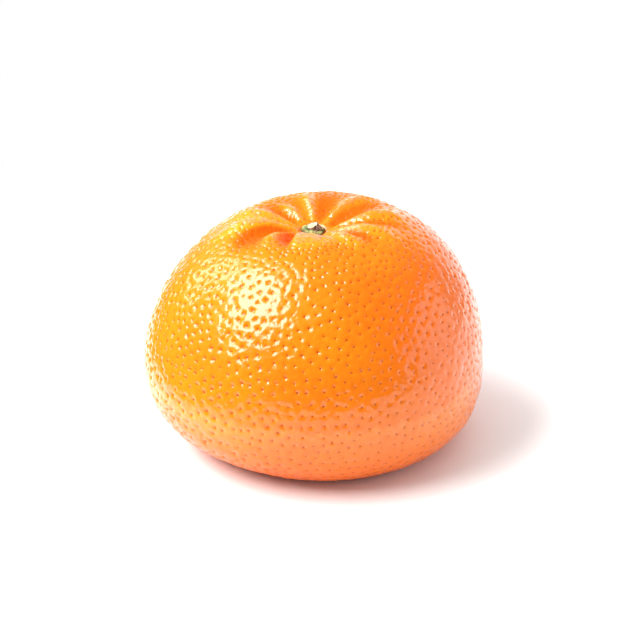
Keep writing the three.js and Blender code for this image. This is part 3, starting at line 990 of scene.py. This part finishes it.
table_mesh = bmesh.new()
bmesh.ops.create_grid(table_mesh, x_segments=1, y_segments=1, size=0.5)
bmesh.ops.scale(table_mesh, vec=(*BOARD_SIZE, 1), verts=table_mesh.verts)
table_data = bpy.data.meshes.new("table")
table_mesh.to_mesh(table_data)
table_mesh.free()
table = bpy.data.objects.new("table", table_data)
table.location = BOARD_PLACE
bpy.context.scene.collection.objects.link(table)
dress(table, plain_material("table white", BOARD_WHITE, BOARD_ROUGHNESS))

# %% The lamps
MIDDLE = Vector((0, 0, MIDDLE_HEIGHT))
KEY_WAY = Vector((-0.61, -0.18, 0.77)).normalized()
KEY_ROLL = math.radians(-31)
STRIP_WAY = Vector((-0.7, 0.52, 0.48)).normalized()
# place and aim in metres, width and height in metres, watts, and the turn about the lamp's own axis
LAMPS = {
    "key softbox": (MIDDLE + KEY_WAY * 0.9, MIDDLE, (0.9, 0.6), 1.6, KEY_ROLL),
    "key core": (MIDDLE + KEY_WAY * 0.85, MIDDLE, (0.7, 0.44), 12.0, KEY_ROLL),
    "left strip": (MIDDLE + STRIP_WAY * 0.9, MIDDLE, (0.24, 0.5), 2.0, 0),
    "right card": (Vector((0.7, 0.0, 0.17)), Vector((0, 0, 0.1)), (0.66, 0.36), 1.2, 0),
}

for name, (place, aim, size, power, roll) in LAMPS.items():
    data = bpy.data.lights.new(name, "AREA")
    data.shape = "RECTANGLE"
    data.size, data.size_y = size
    data.energy = power
    lamp = bpy.data.objects.new(name, data)
    lamp.location = place
    facing = (aim - place).to_track_quat("-Z", "Y")
    lamp.rotation_euler = (facing @ Quaternion((0, 0, 1), roll)).to_euler()
    bpy.context.scene.collection.objects.link(lamp)
    print(name, size, "m,", power, "W")

# %% The room
ROOM_DIM = 0.03                    # brightness of the room in reflections
BACKDROP_BRIGHT = 1.1              # and of its backdrop
FILL_FRONT = 0.5                   # brightness of the even light from the front
FILL_BACK = 1.55                   # and from the back
# where in the room the backdrop sets in, as parts of a direction: backwards, downwards, from the left
BACKDROP_BACK = (0.5, 0.8)
BACKDROP_TOP = (0.55, 0.25)
BACKDROP_SIDE = (-0.45, -0.15)
FILL_DEPTH = (-0.6, 0.6)


def studio_world():
    """The room as reflections, matt surfaces and the camera see it."""
    world = bpy.data.worlds.new("studio")
    world.use_nodes = True
    tree = world.node_tree
    tree.nodes.clear()
    way = add(tree, "SeparateXYZ", {"Vector": add(tree, "TexCoord").outputs["Generated"]}).outputs
    backdrop = calculated(tree, "MULTIPLY", mapped(tree, way["Y"], BACKDROP_BACK),
                          mapped(tree, way["Z"], BACKDROP_TOP))
    backdrop = calculated(tree, "MULTIPLY", backdrop, mapped(tree, way["X"], BACKDROP_SIDE))
    room = mapped(tree, backdrop, end=(ROOM_DIM, BACKDROP_BRIGHT))
    fill = mapped(tree, way["Y"], FILL_DEPTH, (FILL_FRONT, FILL_BACK))
    path = add(tree, "LightPath").outputs
    seen = add(tree, "Mix", {"Factor": path["Is Diffuse Ray"], "A": room, "B": fill})
    seen = add(tree, "Mix", {"Factor": path["Is Camera Ray"], "A": seen.outputs["Result"], "B": 1.0})
    light = add(tree, "Background", {"Color": (*WHITE, 1), "Strength": seen.outputs["Result"]})
    add(tree, "OutputWorld", {"Surface": light.outputs["Background"]})
    print("the room has", len(tree.nodes), "nodes")
    return world


bpy.context.scene.world = studio_world()

# %% The camera
VIEW_DISTANCE = 0.5                # metres from the body's centre
VIEW_ELEVATION = math.radians(27)
PIXELS_PER_MM = 5.144              # at that distance
PICTURE = 640                      # pixels along the picture's side
BODY_AT = (313.4, 351.1)           # where the body's centre shows, in pixels from the top left corner

camera_data = bpy.data.cameras.new("camera")
camera_data.lens = camera_data.sensor_width * PIXELS_PER_MM * VIEW_DISTANCE / MM / PICTURE
camera = bpy.data.objects.new("camera", camera_data)
bpy.context.scene.collection.objects.link(camera)
body_centre = Vector((0, 0, CENTRE_Z * MM))
back = Vector((0, -math.cos(VIEW_ELEVATION), math.sin(VIEW_ELEVATION)))
up = Vector((0, math.sin(VIEW_ELEVATION), math.cos(VIEW_ELEVATION)))
right = Vector((1, 0, 0))
camera.location = body_centre + back * VIEW_DISTANCE
aside = right * (PICTURE / 2 - BODY_AT[0]) + up * (BODY_AT[1] - PICTURE / 2)
aim = body_centre + aside / PIXELS_PER_MM * MM
camera.rotation_euler = (aim - camera.location).to_track_quat("-Z", "Y").to_euler()
bpy.context.scene.camera = camera
bpy.context.scene.view_settings.view_transform = "Standard"
print("camera", round(camera_data.lens), "mm, aimed at", [round(side / MM, 1) for side in aim], "mm")
